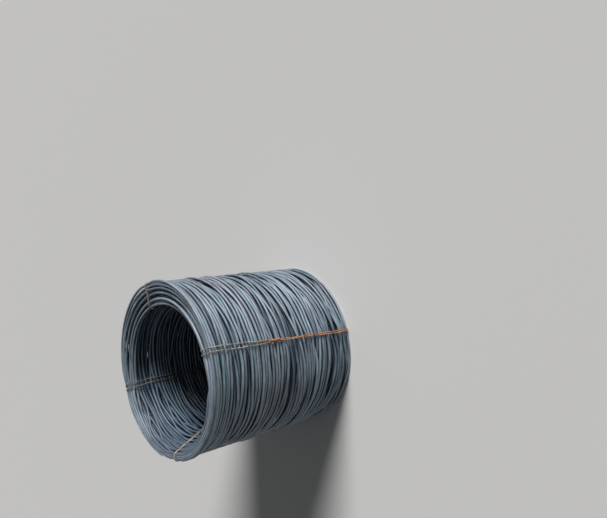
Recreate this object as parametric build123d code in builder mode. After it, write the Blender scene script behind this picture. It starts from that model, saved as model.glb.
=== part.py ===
"""Coil of steel wire rod standing on its end, held by four wire ties.

Millimetres, +Z up. The coil's eye runs along Z, its front end is on top, and the
origin is the middle of the eye. Angles run anticlockwise from +X, seen from above.
"""
import os
from math import cos, hypot, radians, sin, sqrt, tan

from build123d import *

# The coil, wound from round rod
coil_diameter = 1250.0
coil_length = 1240.0
eye_diameter = 860.0
rod_diameter = 18.0

# At the front end the eye opens into a wider mouth. Its axis stands off the coil's,
# so the wall is thin at the mouth's edge on one side and full on the other.
mouth_wall = 59.0
mouth_x = 33.0
mouth_y = -56.0
mouth_lean = 22.4

# Turns that show on each end, and courses of turns round the outside
front_turns = 6
rear_turns = 5
end_groove_depth = 11.0
outside_courses = 14
outside_groove_depth = 12.0

# The rod's free end, which runs round the outside of the front end
free_end_start = 212.0
free_end_stop = 259.0
free_end_inset = 11.0
free_end_proud = 6.0
free_end_sides = 8

# Wire ties, each one wire taken twice round the wall of the coil and knotted. They
# are drawn into the turns of the eye and the ends, and lie proud of the outside.
tie_wire = 6.5
tie_clearance = 0.5
tie_corner = 11.0
tie_gap_front = 30.0
tie_gap_rear = 12.0
tie_side_clearance = 2.0

# Knots, by their distance from the front end, and their tails
knot_diameter = 11.0
knot_sides = 8
tail_length = 24.0
tail_lean = 60.0
tie_right_angle = 21.5
tie_right_knot = 525.0
tie_top_angle = 111.0
tie_top_knot = 880.0
tie_left_angle = 204.0
tie_left_knot = 35.0
tie_left_tail = 58.0
tie_bottom_angle = 283.0
tie_bottom_knot = 900.0

# Radii and levels that follow from them
coil_radius = coil_diameter / 2
eye_radius = eye_diameter / 2
half_length = coil_length / 2
mouth_radius = coil_radius - mouth_wall - hypot(mouth_x, mouth_y)
mouth_slope = tan(radians(mouth_lean))
wire_radius = tie_wire / 2
tie_angles = (tie_right_angle, tie_top_angle, tie_left_angle, tie_bottom_angle)

# The ties' channels in the eye and the ends, and what stays of the wall under them
channel_depth = tie_wire + tie_clearance
channel_width = tie_gap_front + 2 * (tie_wire + tie_side_clearance)
core_outer = coil_radius + tie_corner + 2 * tie_wire

# A square edge cut to an octagon loses this much, and a corner cut at 45 degrees
# grows by this share of the distance that its loop is drawn outward
wire_edge = tie_wire / (2 + sqrt(2))
corner_growth = 2 - sqrt(2)

os.makedirs("parts", exist_ok=True)


def radial_plane(angle):
    """Plane through the coil's axis: x points out from the axis, y up it."""
    return Plane(origin=(0, 0, 0), x_dir=(cos(radians(angle)), sin(radians(angle)), 0),
                 z_dir=(sin(radians(angle)), -cos(radians(angle)), 0))


def wall_loop(angle, outside, corner):
    """Section of the coil's wall at an angle, from the eye and its mouth out to a given
    radius, with its corners cut off, as a tie bends twice over each edge."""
    toward = mouth_x * cos(radians(angle)) + mouth_y * sin(radians(angle))
    aside = mouth_y * cos(radians(angle)) - mouth_x * sin(radians(angle))
    mouth_edge = toward + sqrt(mouth_radius**2 - aside**2)
    mouth_foot = half_length - (mouth_edge - eye_radius) / mouth_slope
    front = [(mouth_edge, half_length), (eye_radius, mouth_foot)]
    if mouth_edge < eye_radius + corner:
        front = [(eye_radius, half_length)]
    with BuildSketch() as loop:
        with BuildLine():
            Polyline((outside, -half_length), (outside, half_length), *front,
                     (eye_radius, -half_length), close=True)
        make_face()
        levels = loop.vertices().group_by(Axis.Y)
        chamfer(levels[0] + levels[-1], corner)
    return loop.sketch


def channel_core(angle):
    """What is left of the wall's section under a tie."""
    with BuildSketch() as core:
        add(wall_loop(angle, core_outer, tie_corner + channel_depth * corner_growth))
        offset(amount=-channel_depth, kind=Kind.INTERSECTION, mode=Mode.REPLACE)
    return core.sketch


# Turned body of the coil. Its section is a zigzag: each ridge on an end is one
# turn, and each ridge on the outside is a course of turns laid side by side.
groove_radius = coil_radius - outside_groove_depth
groove_level = half_length - end_groove_depth
front_pitch = (groove_radius - eye_radius) / front_turns
rear_pitch = (groove_radius - eye_radius) / rear_turns
course_pitch = 2 * groove_level / outside_courses

rear_ridges = []
outside_ridges = []
front_ridges = []
for turn in range(rear_turns):
    inner = eye_radius + turn * rear_pitch
    rear_ridges += [(inner, -groove_level), (inner + rear_pitch / 2, -half_length)]
for turn in range(front_turns):
    outer = groove_radius - turn * front_pitch
    front_ridges += [(outer, groove_level), (outer - front_pitch / 2, half_length)]
for course in range(outside_courses):
    level = -groove_level + course * course_pitch
    outside_ridges += [(groove_radius, level), (coil_radius, level + course_pitch / 2)]

with BuildPart() as rod_coil:
    with BuildSketch(radial_plane(0)):
        with BuildLine():
            Polyline(*rear_ridges, *outside_ridges, *front_ridges, (eye_radius, groove_level), close=True)
        make_face()
    revolve(axis=Axis.Z)
    # The free end of the rod, lying along the outermost turn of the front end
    free_end_place = (coil_radius - free_end_inset, half_length - rod_diameter / 2 + free_end_proud)
    with BuildSketch(radial_plane(free_end_start)):
        with Locations(free_end_place):
            RegularPolygon(rod_diameter / 2, free_end_sides, rotation=180 / free_end_sides)
    revolve(axis=Axis.Z, revolution_arc=free_end_stop - free_end_start)
    # The mouth is turned about its own axis: a cone that ends inside the eye
    with BuildSketch(Plane(origin=(mouth_x, mouth_y, half_length), x_dir=(1, 0, 0), z_dir=(0, -1, 0))):
        with BuildLine():
            Polyline((0, -mouth_radius / mouth_slope), (0, rod_diameter),
                     (mouth_radius + rod_diameter * mouth_slope, rod_diameter), close=True)
        make_face()
    revolve(axis=Axis((mouth_x, mouth_y, 0), (0, 0, 1)), mode=Mode.SUBTRACT)
    # Channels where the ties pull the turns of the eye and the ends back
    for tie_angle in tie_angles:
        with BuildSketch(radial_plane(tie_angle)):
            with Locations(((core_outer + eye_radius - channel_depth) / 2, 0)):
                Rectangle(core_outer - eye_radius + channel_depth, coil_length + 2 * channel_depth)
            add(channel_core(tie_angle), mode=Mode.SUBTRACT)
        extrude(amount=channel_width / 2, both=True, mode=Mode.SUBTRACT)
rod_coil.part.label = "rod_coil"
export_step(rod_coil.part, "parts/rod_coil.step")


# Wire ties. Each strand is a flat loop round the wall, and the two strands
# stand further apart at the front than at the rear.
def strand_plane(angle, side):
    """Radial plane moved to one side, and leaning so that the strands close up."""
    middle = radial_plane(angle)
    lean = (tie_gap_front - tie_gap_rear) / 2 / coil_length
    return Plane(origin=middle.z_dir * (side * (tie_gap_front + tie_gap_rear) / 4), x_dir=middle.x_dir,
                 z_dir=(middle.z_dir - middle.y_dir * (side * lean)).normalized())


def make_tie(name, angle, knot, tail, lean):
    """One tie at an angle round the coil, with its knot that far from the front end."""
    outside = coil_radius + tie_clearance + tie_wire
    loop = wall_loop(angle, outside, tie_corner + tie_wire * corner_growth)
    with BuildPart() as tie:
        for side in (-1, 1):
            # A frame cut from the plane of the strand, its edges taken off to an octagon
            plane = strand_plane(angle, side)
            with BuildSketch(plane.offset(-wire_radius)):
                add(loop)
                offset(amount=-tie_wire, kind=Kind.INTERSECTION, mode=Mode.SUBTRACT)
            extrude(amount=tie_wire)
            chamfer(tie.faces().filter_by(plane).edges(), wire_edge)
        # The knot is wound across both strands, and its tail stands off the coil
        middle = radial_plane(angle)
        knot_place = (coil_radius + tie_clearance + knot_diameter / 2, half_length - knot)
        knot_width = tie_gap_front + tie_wire
        with BuildSketch(middle.offset(-knot_width / 2)):
            with Locations(knot_place):
                RegularPolygon(knot_diameter / 2, knot_sides)
        extrude(amount=knot_width)
        with BuildLine(middle):
            tail_line = PolarLine(knot_place, tail, lean)
        with BuildSketch(Plane(origin=tail_line @ 0, z_dir=tail_line % 0)):
            RegularPolygon(wire_radius, knot_sides)
        extrude(amount=tail)
    tie.part.label = name
    export_step(tie.part, f"parts/{name}.step")
    return tie.part


make_tie("tie_right", tie_right_angle, tie_right_knot, tail_length, tail_lean)
make_tie("tie_top", tie_top_angle, tie_top_knot, tail_length, tail_lean)
make_tie("tie_left", tie_left_angle, tie_left_knot, tie_left_tail, tail_lean / 2)
make_tie("tie_bottom", tie_bottom_angle, tie_bottom_knot, tail_length, tail_lean)
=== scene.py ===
import bpy
import numpy as np
from mathutils import Matrix, Vector


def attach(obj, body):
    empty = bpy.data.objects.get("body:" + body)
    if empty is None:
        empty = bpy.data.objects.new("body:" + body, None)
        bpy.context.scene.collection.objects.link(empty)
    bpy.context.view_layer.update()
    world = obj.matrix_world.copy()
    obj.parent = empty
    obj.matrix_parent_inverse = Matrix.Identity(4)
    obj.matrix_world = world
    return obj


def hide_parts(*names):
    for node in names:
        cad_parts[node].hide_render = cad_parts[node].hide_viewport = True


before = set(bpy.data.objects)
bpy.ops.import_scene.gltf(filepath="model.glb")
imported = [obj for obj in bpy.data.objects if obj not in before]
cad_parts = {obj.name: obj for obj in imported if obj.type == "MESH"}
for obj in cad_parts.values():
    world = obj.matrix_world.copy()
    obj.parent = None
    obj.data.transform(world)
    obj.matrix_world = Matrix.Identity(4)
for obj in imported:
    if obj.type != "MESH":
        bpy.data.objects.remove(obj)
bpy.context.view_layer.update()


# THE ROD
# One length of 18 mm hot-rolled steel rod, some 925 m long, still in its blue-grey mill
# scale. It falls off the laying head in loops that shift round by about an eighth of a
# turn each, and the heap of loops is then pressed together and tied.

rod_diameter = 0.018
half_rod = rod_diameter / 2
rod_sides = 8
turn_count = 276
cuts_per_turn = 72
coil_half = 0.620
coil_outside = 0.625
rod_out_least = 0.4465
rod_out_most = 0.616
free_end_angle = np.radians(267.0)
tie_angles = np.radians([21.5, 111.0, 204.0, 283.0])


def wandering(draw, count, step):
    """A wandering value, mostly between -1 and 1: random heights set every `step` places,
    with a cubic B-spline through them. The spline flattens them, so its sum is divided by
    four in place of six."""
    heights = draw.uniform(-1, 1, int(count / step) + 5)
    place = np.arange(count) / step
    knot = place.astype(int)
    f = place - knot
    a, b, c, d = (heights[knot + k] for k in range(4))
    return (a * (1 - f) ** 3 + b * (3 * f**3 - 6 * f**2 + 4)
            + c * (-3 * f**3 + 3 * f**2 + 3 * f + 1) + d * f**3) / 4


# Each loop is a circle set off from the coil's axis. Its distance out, seen from the axis
# at angle a, is shift * cos(a - heading) + sqrt(loop^2 - (shift * sin(a - heading))^2).
# The loops widen and narrow in cycles of a few turns, the heading of their shift turns
# from loop to loop, and each is slightly tilted.
loop_radius = 0.531
loop_swing = 0.058
loop_wander = 0.012
turns_per_cycle = 6.5
loop_shift = 0.045
shift_wander = 0.015
loop_turning = np.radians(47.0)
loop_tilt = 0.020
rod_draw = np.random.default_rng(6)
place_count = turn_count * cuts_per_turn
turns_laid = np.arange(place_count) / cuts_per_turn
turns_left = (place_count - 1 - np.arange(place_count)) / cuts_per_turn
rod_angle = free_end_angle - turns_left * 2 * np.pi
pace = 1 + 0.5 * wandering(rod_draw, place_count, 2.5 * cuts_per_turn)
cycle = np.cumsum(pace) / cuts_per_turn
loop = loop_radius + loop_swing * np.sin(2 * np.pi * cycle / turns_per_cycle)
loop += loop_wander * wandering(rod_draw, place_count, 1.2 * cuts_per_turn)
shift = loop_shift + shift_wander * wandering(rod_draw, place_count, 1.4 * cuts_per_turn)
turning = loop_turning * (1 + 0.5 * wandering(rod_draw, place_count, 2.0 * cuts_per_turn))
heading = np.cumsum(turning) / cuts_per_turn
shift_x = shift * np.cos(heading)
shift_y = shift * np.sin(heading)
tilt_x = loop_tilt * wandering(rod_draw, place_count, 1.5 * cuts_per_turn)
tilt_y = loop_tilt * wandering(rod_draw, place_count, 1.5 * cuts_per_turn)
tilt = tilt_x * np.cos(rod_angle) + tilt_y * np.sin(rod_angle)

# Towards the front end the loops lie quieter, and closer to the outside.
calm_turns = 44
calm_over_turns = 26
shift_calmed = 0.55
tilt_calmed = 0.75
swing_calmed = 0.35
calm_wider = 0.022
calm = np.clip((calm_turns - turns_left) / calm_over_turns, 0, 1)
shift_x *= 1 - shift_calmed * calm
shift_y *= 1 - shift_calmed * calm
tilt *= 1 - tilt_calmed * calm
loop += calm * (calm_wider - swing_calmed * (loop - loop_radius))

# The last turns lie in rings on the front end: the last one is the widest, and those
# below it are smaller and set over to one side, as far as the sixth.
mouth_x = 0.033
mouth_y = -0.056
widest_ring = 0.615
rings_narrow_by = 0.099
rings_begin = 7.4
rings_over_turns = 1.2
rod_wave = 0.003
ring_turns = [0.0, 0.47, 1.47, 2.47, 3.47, 4.47, 5.47, 6.2]
ring_steps = [0.0, 0.0, 0.13, 0.30, 0.52, 0.78, 1.0, 1.0]
step_in = np.interp(turns_left, ring_turns, ring_steps)
in_rings = np.clip((rings_begin - turns_left) / rings_over_turns, 0, 1)
in_rings = in_rings * in_rings * (3 - 2 * in_rings)
loop = loop * (1 - in_rings) + in_rings * (widest_ring - rings_narrow_by * step_in)
shift_x = shift_x * (1 - in_rings) + in_rings * mouth_x * step_in
shift_y = shift_y * (1 - in_rings) + in_rings * mouth_y * step_in
shift = np.hypot(shift_x, shift_y)
heading = np.arctan2(shift_y, shift_x)
shift_ahead = shift * np.cos(rod_angle - heading)
shift_aside = shift * np.sin(rod_angle - heading)
rod_out = shift_ahead + np.sqrt(loop**2 - shift_aside**2)
rod_out += rod_wave * wandering(rod_draw, place_count, cuts_per_turn / 6) * (1 - 0.7 * in_rings)

# The eye is wider at its mouth, a cone whose axis stands to the lower right. Seen from the
# coil's axis its edge is at toward + sqrt(ring^2 - aside^2), and it closes in with depth.
mouth_ring = 0.5175
mouth_slope = np.tan(np.radians(22.4))
toward = mouth_x * np.cos(rod_angle) + mouth_y * np.sin(rod_angle)
aside = mouth_y * np.cos(rod_angle) - mouth_x * np.sin(rod_angle)
mouth_edge = toward + np.sqrt(mouth_ring**2 - aside**2)


def half_turn_at_most(angle):
    """The same angle, taken to between minus and plus half a turn."""
    return (angle + np.pi) % (2 * np.pi) - np.pi


# Pressing: in each radial cut the rods are discs. Two that come closer than their elbow
# room push each other apart, and the push is spread along the rod, which is stiff. The
# ties hold the ends down and pull the outside in, and the free end springs out a little.
elbow_room = 0.023
stiff_places = 19
press_rounds = 240
turns_that_touch = 12
outside_draws_in = 0.018
rod_lies_deeper = 0.006
tie_sink = 0.007
tie_sink_ends = 0.0067
end_springs_out = 0.015
spread = np.hanning(stiff_places)[1:-1]
spread /= spread.sum()
rod_level = np.linspace(half_rod - coil_half, coil_half - half_rod, place_count)
rod_level += tilt * np.clip((coil_half - np.abs(rod_level)) / 0.06, 0, 1)
own_depth = rod_lies_deeper * (1 + wandering(rod_draw, place_count, 1.3 * cuts_per_turn))
from_tie = np.min([np.abs(half_turn_at_most(rod_angle - a)) for a in tie_angles], axis=0)
pressed = tie_sink_ends * np.exp(-((from_tie / np.radians(7)) ** 2))
pulled_in = np.exp(-((from_tie / np.radians(6)) ** 2))
from_end = half_turn_at_most(rod_angle - free_end_angle + np.radians(9))
beside_end = (end_springs_out * np.exp(-((from_end / np.radians(24)) ** 2))
              * np.clip((turns_left - 0.4) / 0.4, 0, 1))
end_level = coil_half - half_rod - pressed
room = rod_diameter + (elbow_room - rod_diameter) * (1 - 0.8 * calm)
for each_round in range(press_rounds):
    push_out, push_up, touches = np.zeros((3, place_count))
    for neighbour in range(1, turns_that_touch + 1):
        s = neighbour * cuts_per_turn
        gap_out = rod_out[s:] - rod_out[:-s]
        gap_up = rod_level[s:] - rod_level[:-s]
        apart = np.hypot(gap_out, gap_up) + 1e-9
        share = np.maximum(room[s:] - apart, 0) / apart
        push_out[s:] += share * gap_out
        push_out[:-s] -= share * gap_out
        push_up[s:] += share * gap_up
        push_up[:-s] -= share * gap_up
        touches[s:] += share > 0
        touches[:-s] += share > 0
    weight = 0.5 / np.sqrt(np.maximum(touches, 1))
    inner_limit = np.maximum(rod_out_least, mouth_edge - mouth_slope * (coil_half - rod_level))
    # The outside draws in here and there, in hollows that run slanting round the coil
    hollow = 0.5 - 0.5 * (np.sin(2 * rod_angle + 11 * rod_level)
                          * np.sin(26 * rod_level - rod_angle + 1.0))
    lower = (outside_draws_in * hollow + own_depth) * (1 - pulled_in)
    outer_limit = (rod_out_most - tie_sink * pulled_in
                   - lower * np.clip((turns_left - 2) / 6, 0, 1))
    outer_limit -= beside_end * np.clip((rod_level - 0.38) / 0.12, 0, 1)
    rod_out = np.clip(rod_out + 0.6 * np.convolve(push_out * weight, spread, mode="same"),
                      inner_limit, outer_limit)
    rod_level = np.clip(rod_level + np.convolve(push_up * weight, spread, mode="same"),
                        -end_level, end_level)

rod_line = np.stack([rod_out * np.cos(rod_angle), rod_out * np.sin(rod_angle), rod_level], axis=1)

# How much painted light each place gets, from 0 inside the heap to 1 on its outside and on
# both ends, and about the mouth in between. The finish darkens the rods by it: painted shade
# inside the heap and deep in the eye, with some painted light near the mouth.
painted_light_from = 0.580
painted_light_over = 0.022
mouth_painted_light = 0.30
mouth_light_depth = 0.30
painted_light_outside = np.clip((rod_out - painted_light_from + 0.6 * outside_draws_in * hollow) / painted_light_over, 0, 1)
painted_light_ends = np.maximum(in_rings, np.clip(1.5 - turns_laid, 0, 1))
painted_light_mouth = (mouth_painted_light * np.clip(1 - (coil_half - rod_level) / mouth_light_depth, 0, 1)
              * np.clip(1.6 - (rod_out - inner_limit) / 0.016, 0, 1))
rod_painted_light = np.max([painted_light_outside, painted_light_ends, painted_light_mouth], axis=0)


def round_bar(line, radius, sides, up):
    """A round bar along a line of points: point + radius * (cos a * across + sin a * over),
    where across is the line's direction crossed with `up`. Both ends are closed with a disc.
    Gives the corners, the four-sided faces, the end faces, and each place's length along."""
    ahead = np.gradient(line, axis=0)
    ahead /= np.linalg.norm(ahead, axis=1, keepdims=True)
    across = np.cross(ahead, up)
    across /= np.linalg.norm(across, axis=1, keepdims=True)
    over = np.cross(across, ahead)
    a = np.arange(sides) * 2 * np.pi / sides
    corners = (line[:, None] + radius * (np.cos(a)[None, :, None] * across[:, None]
                                         + np.sin(a)[None, :, None] * over[:, None]))
    count = len(line)
    grid = np.arange(count * sides).reshape(count, sides)
    here, there = grid[:-1], grid[1:]
    quads = np.stack([here, there, np.roll(there, -1, 1), np.roll(here, -1, 1)], axis=-1)
    ends = [grid[0].tolist(), grid[-1][::-1].tolist()]
    along = np.concatenate([[0], np.cumsum(np.linalg.norm(np.diff(line, axis=0), axis=1))])
    return corners.reshape(-1, 3), quads.reshape(-1, 4), ends, along


def bar_object(name, bars, material, painted_light_level, start=0.0):
    """A mesh object of one or more round bars. Its UV map runs once round the bar in u, and
    along it in metres in v, from `start`. The painted light of each place, or one for all of
    them, is kept as a point attribute, by which the finish paints shade."""
    corners, faces, uvs, base = [], [], [], 0
    for line, radius, sides, up in bars:
        points, quads, ends, along = round_bar(line, radius, sides, up)
        corners.append(points)
        faces += (quads + base).tolist()
        faces += [[k + base for k in end] for end in ends]
        place, side = np.divmod(np.arange(len(quads)), sides)
        near, far = along[place], along[place + 1]
        u = np.stack([side, side, side + 1, side + 1], axis=-1) / sides
        v = start + np.stack([near, far, far, near], axis=-1)
        uvs.append(np.stack([u, v], axis=-1).reshape(-1, 2))
        uvs.append(np.stack([np.tile(np.arange(sides) / sides, 2),
                             np.repeat([start + along[0], start + along[-1]], sides)], axis=-1))
        base += len(points)
    mesh = bpy.data.meshes.new(name)
    mesh.from_pydata(np.concatenate(corners).tolist(), [], faces)
    layer = mesh.uv_layers.new(name="length")
    layer.data.foreach_set("uv", np.concatenate(uvs).astype(np.float32).ravel())
    mesh.polygons.foreach_set("use_smooth", np.ones(len(faces), bool))
    # The painted light of each place, read by the finishes to paint shade
    kept_painted_light = mesh.attributes.new("painted_light", "FLOAT", "POINT")
    values = np.repeat(painted_light_level, bars[0][2]) if np.ndim(painted_light_level) else np.full(base, painted_light_level)
    kept_painted_light.data.foreach_set("value", values.astype(np.float32))
    mesh.materials.append(material)
    mesh.update()
    piece = bpy.data.objects.new(name, mesh)
    bpy.context.scene.collection.objects.link(piece)
    return piece


class Finish:
    """The nodes of a finish, with short ways to add and join them. A value given to a node
    is a number, a colour or the output of another node."""

    def __init__(self, owner):
        owner.use_nodes = True
        self.owner = owner
        self.tree = owner.node_tree

    def put(self, value, socket):
        """Join an output to a socket, or set the socket to a number or a colour."""
        if isinstance(value, bpy.types.NodeSocket):
            self.tree.links.new(value, socket)
        else:
            socket.default_value = (*value, 1) if socket.type == "RGBA" else value

    def fill(self, node, **values):
        """Give a node its settings and its inputs, whose names have _ for a space."""
        for key, value in values.items():
            if hasattr(node, key):
                setattr(node, key, value)
            else:
                self.put(value, node.inputs[key.replace("_", " ")])
        return node

    def add(self, kind, **values):
        """A new node, filled in."""
        return self.fill(self.tree.nodes.new(kind), **values)

    def surface(self, **values):
        """Fill in the surface itself."""
        return self.fill(self.tree.nodes["Principled BSDF"], **values)

    def noise(self, where, **values):
        """Soft noise between 0 and 1."""
        return self.add("ShaderNodeTexNoise", Vector=where, **values).outputs["Fac"]

    def stretched(self, where, **values):
        """Places moved and scaled."""
        return self.add("ShaderNodeMapping", Vector=where, **values).outputs["Vector"]

    def ramp(self, value, low, low_colour, high, high_colour):
        """The low colour up to a value of low, the high colour from high on."""
        made = self.add("ShaderNodeValToRGB", Fac=value)
        first, last = made.color_ramp.elements
        first.position, first.color = low, (*low_colour, 1)
        last.position, last.color = high, (*high_colour, 1)
        return made.outputs["Color"]

    def blend(self, share, one, other):
        """One colour where the share is 0, the other where it is 1."""
        return self.add("ShaderNodeMix", data_type="RGBA", Factor=share, A=one,
                        B=other).outputs["Result"]

    def tinted(self, colour, tint):
        """A colour multiplied by another."""
        return self.add("ShaderNodeMix", data_type="RGBA", blend_type="MULTIPLY", Factor=1.0,
                        A=colour, B=tint).outputs["Result"]

    def sum(self, operation, *values, use_clamp=False):
        """One sum worked out from up to three values."""
        made = self.add("ShaderNodeMath", operation=operation, use_clamp=use_clamp)
        for value, socket in zip(values, made.inputs):
            self.put(value, socket)
        return made.outputs["Value"]

    def bump(self, height, **values):
        """The surface's normal over small heights."""
        return self.add("ShaderNodeBump", Height=height, **values).outputs["Normal"]


def rod_finish():
    """Mill scale: blue-grey oxide, streaked along the rod, lighter and darker from turn to
    turn, teal here and pinkish there, with thin brown rust in patches where damp has got at
    it, and darkened and tinted blue inside the heap and deep in the eye as painted shade."""
    finish = Finish(bpy.data.materials.new("mill_scale"))
    where = finish.add("ShaderNodeTexCoord")
    along_rod = where.outputs["UV"]
    streak = finish.noise(finish.stretched(along_rod, Scale=(3.0, 9.0, 1.0)),
                          Scale=1.0, Detail=4.0, Roughness=0.6)
    turn_tone = finish.noise(finish.stretched(along_rod, Scale=(0.0, 0.45, 1.0)),
                             Scale=1.0, Detail=2.0)
    hue_tone = finish.noise(finish.stretched(along_rod, Location=(0.0, 7.0, 0.0),
                                             Scale=(0.0, 0.31, 1.0)), Scale=1.0, Detail=1.0)
    patch = finish.noise(where.outputs["Object"], Scale=2.2, Detail=5.0, Roughness=0.65)
    # The painted light of each place: 0 inside the heap, 1 on the outside and the ends
    heap = finish.add("ShaderNodeAttribute", attribute_name="painted_light").outputs["Fac"]
    tone = finish.add("ShaderNodeMix", data_type="FLOAT", Factor=0.5, A=streak,
                      B=turn_tone).outputs["Result"]
    shade = finish.ramp(tone, 0.36, (0.042, 0.068, 0.093), 0.64, (0.285, 0.335, 0.388))
    hue = finish.ramp(hue_tone, 0.38, (0.86, 1.0, 1.0), 0.62, (1.0, 0.94, 0.98))
    # Painted shade: rods inside the heap and deep in the eye are multiplied down to a dark blue
    depth = finish.blend(heap, (0.20, 0.30, 0.38), (1, 1, 1))
    scale = finish.tinted(finish.tinted(shade, hue), depth)
    rust = finish.ramp(patch, 0.56, (0, 0, 0), 0.80, (0.7, 0.7, 0.7))
    rough = finish.add("ShaderNodeMapRange", Value=streak, To_Min=0.42, To_Max=0.70)
    finish.surface(Metallic=0.10, IOR=1.65, Roughness=rough.outputs["Result"],
                   Base_Color=finish.blend(rust, scale, (0.10, 0.060, 0.045)),
                   Normal=finish.bump(streak, Strength=0.25, Distance=0.0008))
    return finish.owner


def sheared_finish():
    """Bare steel where the rod was sheared off, with fine marks of the blade."""
    finish = Finish(bpy.data.materials.new("sheared_steel"))
    where = finish.add("ShaderNodeTexCoord")
    marks = finish.noise(where.outputs["Object"], Scale=220.0, Detail=2.0)
    finish.surface(Metallic=1.0, Roughness=0.32,
                   Base_Color=finish.ramp(marks, 0.0, (0.52, 0.53, 0.54), 1.0, (0.78, 0.78, 0.77)))
    return finish.owner


# One rod, kept in three pieces that meet end to end, so that none has too many triangles.
mill_scale = rod_finish()
upright = np.array([0.0, 0.0, 1.0])
piece_turns = 92
rod_length = 0.0
for number, part_name in enumerate(["rear", "middle", "front"]):
    first = number * piece_turns * cuts_per_turn
    last = min(first + piece_turns * cuts_per_turn + 1, place_count)
    line = rod_line[first:last]
    turns = bar_object(f"rod_turns_{part_name}", [(line, half_rod, rod_sides, upright)],
                       mill_scale, rod_painted_light[first:last], rod_length)
    rod_length += float(np.linalg.norm(np.diff(line, axis=0), axis=1).sum())
    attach(turns, "root")
    if number == 0:
        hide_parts("rod_coil")

# The free end, the last face of the last piece
turns.data.materials.append(sheared_finish())
turns.data.polygons[-1].material_index = 1
turns.data.polygons[-1].use_smooth = False


# TIES
# Four ties of soft annealed wire, rusted. Each is one wire taken twice through the eye and
# round the wall of the coil, pulled tight in a press, and closed by twisting its ends.

wire_radius = 0.00325
wire_sides = 6
tie_clearance = 0.0005
tie_out = coil_outside - tie_sink + tie_clearance + wire_radius
tie_corner = 0.009
tie_mouth_ring = 0.501
tie_eye = 0.430
knot_out = tie_out + 0.001
knot_reach = 0.055


def wall_path(angle, knot_level, step):
    """The middle of a strand's way round the wall, as distance out and level every `step`
    metres: from the knot up the outside, over the front end, down the mouth and the eye,
    under the rear end and up again. The corners are cut, then eased by a moving mean."""
    end = coil_half - wire_radius
    toward = mouth_x * np.cos(angle) + mouth_y * np.sin(angle)
    aside = mouth_y * np.cos(angle) - mouth_x * np.sin(angle)
    mouth_at = toward + np.sqrt(tie_mouth_ring**2 - aside**2) + wire_radius
    eye_at = tie_eye + wire_radius
    cut = tie_corner
    points = [(tie_out, knot_level), (tie_out, end - cut), (tie_out - cut, end)]
    if mouth_at > eye_at + 0.014:
        lean = np.array([1.0, 1.0 / mouth_slope]) / np.hypot(1.0, 1.0 / mouth_slope)
        points += [(mouth_at + cut, end), (mouth_at - lean[0] * cut, end - lean[1] * cut),
                   (eye_at, end - (mouth_at - eye_at) / mouth_slope)]
    else:
        points += [(eye_at + cut, end), (eye_at, end - cut)]
    points += [(eye_at, cut - end), (eye_at + cut, -end), (tie_out - cut, -end),
               (tie_out, cut - end), (tie_out, knot_level)]
    points = np.array(points)
    length = np.concatenate([[0], np.cumsum(np.linalg.norm(np.diff(points, axis=0), axis=1))])
    along = np.linspace(0, length[-1], int(length[-1] / step))
    path = np.stack([np.interp(along, length, points[:, k]) for k in (0, 1)], axis=1)
    ease = np.hanning(11)[1:-1]
    ease /= ease.sum()
    half = len(ease) // 2
    padded = np.concatenate([path[-1 - half:-1], path, path[1:half + 1]])
    eased = np.stack([np.convolve(padded[:, k], ease, mode="valid") for k in (0, 1)], axis=1)
    return eased, along


def twist(start, way, length, radius, turns, phase):
    """A wire wound evenly about a straight line: start + length * t * way
    + radius * (cos a * one + sin a * other), where a grows with t."""
    way = way / np.linalg.norm(way)
    one = np.cross(way, [0.31, 0.47, 0.83])
    one /= np.linalg.norm(one)
    other = np.cross(way, one)
    t = np.linspace(0, 1, int(12 * turns) + 4)
    a = phase + 2 * np.pi * turns * t
    return (start + length * t[:, None] * way
            + radius * (np.cos(a)[:, None] * one + np.sin(a)[:, None] * other))


def tie_finish():
    """Annealed wire: grey-tan where the sun and the rain have worn it, rust orange over most
    of it, with darker brown in patches, and tinted darker over the whole of the top and left
    ties as painted shade."""
    finish = Finish(bpy.data.materials.new("tie_rust"))
    where = finish.add("ShaderNodeTexCoord").outputs["Object"]
    height = finish.add("ShaderNodeSeparateXYZ", Vector=where).outputs["Z"]
    fleck = finish.noise(where, Scale=38.0, Detail=3.0, Roughness=0.6)
    patch = finish.noise(where, Scale=9.0, Detail=2.0)
    tie_light_paint = finish.add("ShaderNodeAttribute", attribute_name="painted_light").outputs["Fac"]
    worn = finish.add("ShaderNodeMapRange", Value=height, From_Min=0.08, From_Max=0.30)
    share = finish.sum("ADD", worn.outputs["Result"],
                       finish.sum("MULTIPLY_ADD", patch, 1.1, -0.55), use_clamp=True)
    rust = finish.ramp(fleck, 0.36, (0.20, 0.075, 0.030), 0.62, (0.58, 0.235, 0.085))
    tan = finish.ramp(fleck, 0.36, (0.13, 0.090, 0.065), 0.60, (0.36, 0.325, 0.270))
    # Painted shade: ties given less painted light are multiplied down to a dark brown tint
    brown = finish.blend(tie_light_paint, (0.30, 0.24, 0.26), (1, 1, 1))
    finish.surface(Roughness=0.78, Base_Color=finish.tinted(finish.blend(share, rust, tan), brown),
                   Normal=finish.bump(fleck, Strength=0.5, Distance=0.0008))
    return finish.owner


tie_rust = tie_finish()

# How the strands wander, and how the second twist and the knot are wound
both_wander = 0.0018
strand_wander = 0.0012
touching = 1.05
second_reach = 0.045
second_lead = 0.030
knot_radius = 0.0072
knot_winds_per_metre = 90
tail_radius = 0.0030
tail_winds_per_metre = 40


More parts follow.
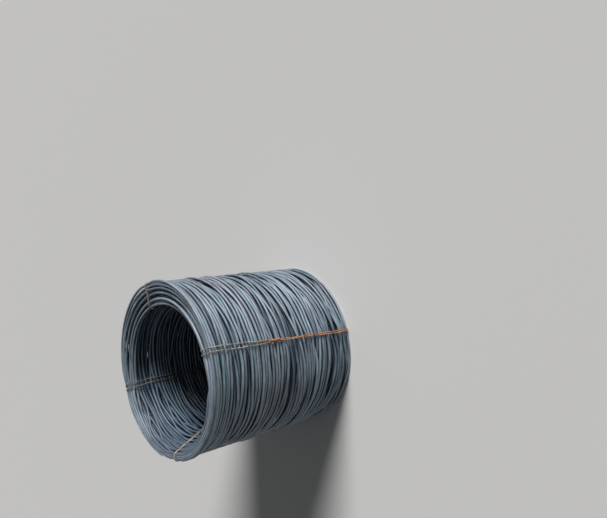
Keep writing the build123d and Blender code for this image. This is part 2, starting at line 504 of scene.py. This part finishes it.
def tie(name, angle, knot_depth, tail, lean, gaps, swing, seed, tie_painted_light, second=None):
    """One tie at an angle round the coil: two strands side by side, drawn together at the
    knot, and again at a second twist where it has one. The ends are wound tightly round
    both strands at the knot, and their tails stand off it. The gaps between the strands are
    given at four levels from the rear end up, and how far the tie swings to one side at the
    rear and the front end."""
    draw = np.random.default_rng(seed)
    out_way = np.array([np.cos(angle), np.sin(angle), 0.0])
    side_way = np.array([-np.sin(angle), np.cos(angle), 0.0])
    up_way = np.array([0, 0, 1.0])
    both_ends = [-coil_half, coil_half]
    knot_level = coil_half - knot_depth
    path, along = wall_path(angle, knot_level, 0.004)
    out, level = path.T
    half_gap = np.interp(level, [-coil_half, 0.0, 0.35, coil_half], gaps) / 2
    from_knot = np.minimum(along, along[-1] - along)
    closed = np.exp(-((from_knot / knot_reach) ** 4))
    on_outside = out > coil_outside - 0.02
    middle = np.interp(level, both_ends, swing) * on_outside
    middle += np.interp(np.arange(len(level)), np.flatnonzero(on_outside),
                        middle[on_outside]) * ~on_outside
    wander = both_wander * wandering(draw, len(level), 14) * (1 - closed)
    bars = []
    for side in (-1, 1):
        own = strand_wander * wandering(draw, len(level), 9) * (1 - closed)
        across = middle + wander + own + side * (half_gap * (1 - closed)
                                                 + wire_radius * touching * closed)
        away = out.copy()
        if second:
            from_second = level - coil_half + second
            near = np.exp(-((from_second / second_reach) ** 2)) * on_outside
            turn = 2 * np.pi * from_second / second_lead
            across = across * (1 - near) + near * (middle + wander
                                                   + side * touching * wire_radius * np.cos(turn))
            away = away + near * wire_radius * (1.0 + side * np.sin(turn))
        line = away[:, None] * out_way + across[:, None] * side_way + level[:, None] * up_way
        bars.append((line, wire_radius, wire_sides, side_way + 0.37 * out_way))
    knot_aside = np.interp(knot_level, both_ends, swing)
    knot = knot_out * out_way + knot_level * up_way + knot_aside * side_way
    tail_way = np.cos(lean) * out_way + np.sin(lean) * up_way + 0.25 * side_way
    wound = min(knot_reach * 0.8, coil_half - 0.012 - knot_level)
    for phase, rise in ((0, wound), (np.pi, -wound)):
        winding = twist(knot, rise * up_way, abs(rise), knot_radius,
                        knot_winds_per_metre * abs(rise), phase)
        standing_off = twist(knot, tail_way, tail, tail_radius,
                             1.0 + tail * tail_winds_per_metre, phase)
        bars += [(winding, wire_radius, wire_sides, out_way),
                 (standing_off, wire_radius, wire_sides, side_way)]
    made = bar_object(name + "_wire", bars, tie_rust, tie_painted_light)
    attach(made, "root")
    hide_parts(name)


right_angle, top_angle, left_angle, bottom_angle = tie_angles
# The last value is each tie's painted light: the top and left ties are darkened as painted shade
tie("tie_right", right_angle, knot_depth=0.525, tail=0.024, lean=np.radians(60),
    gaps=(0.013, 0.009, 0.028, 0.030), swing=(-0.032, 0.018), seed=11, tie_painted_light=1.0, second=0.735)
tie("tie_top", top_angle, knot_depth=0.880, tail=0.024, lean=np.radians(60),
    gaps=(0.012, 0.012, 0.014, 0.014), swing=(-0.004, 0.004), seed=12, tie_painted_light=0.25)
tie("tie_left", left_angle, knot_depth=0.060, tail=0.058, lean=np.radians(30),
    gaps=(0.012, 0.018, 0.026, 0.036), swing=(-0.004, 0.004), seed=13, tie_painted_light=0.25)
tie("tie_bottom", bottom_angle, knot_depth=0.900, tail=0.024, lean=np.radians(60),
    gaps=(0.012, 0.012, 0.022, 0.008), swing=(-0.004, 0.004), seed=14, tie_painted_light=0.9)


# FLOOR, LIGHT AND CAMERA
# The coil stands on its rear end on a pale floor. The camera sees it from where the
# photograph was taken, turned with the coil, so its upper edge points along +Y.

floor_half = 40
floor_mesh = bpy.data.meshes.new("floor")
floor_mesh.from_pydata([(x * floor_half, y * floor_half, -coil_half)
                        for x, y in ((-1, -1), (1, -1), (1, 1), (-1, 1))], [], [(0, 1, 2, 3)])
floor = bpy.data.objects.new("floor", floor_mesh)
bpy.context.scene.collection.objects.link(floor)
floor_paint = Finish(bpy.data.materials.new("floor_paint"))
floor_paint.surface(Base_Color=(0.84, 0.83, 0.81), Roughness=0.9)
floor_mesh.materials.append(floor_paint.owner)

# One broad lamp from above the camera's picture, and a faint sky all round
key = bpy.data.lights.new("key", "SUN")
key.energy = 5.0
key.angle = np.radians(24)
key_lamp = bpy.data.objects.new("key", key)
key_from = Vector((0.12, 0.91, 0.34))
key_lamp.rotation_euler = key_from.to_track_quat("Z", "Y").to_euler()
bpy.context.scene.collection.objects.link(key_lamp)
world = bpy.data.worlds.new("studio")
studio = Finish(world)
sky = studio.fill(world.node_tree.nodes["Background"], Color=(0.93, 0.96, 1.0), Strength=0.07)

# The camera and reflections see a plain grey backdrop in its place
rays = studio.add("ShaderNodeLightPath").outputs
seen = studio.sum("MAXIMUM", rays["Is Camera Ray"], rays["Is Glossy Ray"])
shown = studio.sum("MAXIMUM", seen, rays["Is Transmission Ray"])
backdrop = studio.add("ShaderNodeBackground", Color=(0.62, 0.62, 0.61), Strength=1.0)
either = studio.add("ShaderNodeMixShader", Fac=shown)
studio.put(sky.outputs["Background"], either.inputs[1])
studio.put(backdrop.outputs["Background"], either.inputs[2])
studio.put(either.outputs["Shader"], world.node_tree.nodes["World Output"].inputs["Surface"])
bpy.context.scene.world = world
bpy.context.scene.view_settings.view_transform = "Standard"

# The photograph is 607 pixels wide, and its focal length is 600 of them
photo_width = 607
focal_pixels = 600
camera_place = np.array([3.6192, 1.1217, 2.6546])
camera_ahead = np.array([-0.73031, -0.08750, -0.67748])
camera_up = np.array([0.0, 1.0, 0.0])
ahead = camera_ahead / np.linalg.norm(camera_ahead)
right = np.cross(ahead, camera_up)
right /= np.linalg.norm(right)
above = np.cross(right, ahead)
lens = bpy.data.cameras.new("camera")
lens.sensor_width = 36.0
lens.lens = lens.sensor_width * focal_pixels / photo_width
camera = bpy.data.objects.new("camera", lens)
turned = np.eye(4)
turned[:3, :3] = np.stack([right, above, -ahead], axis=1)
turned[:3, 3] = camera_place
camera.matrix_world = Matrix(turned.tolist())
bpy.context.scene.collection.objects.link(camera)
bpy.context.scene.camera = camera
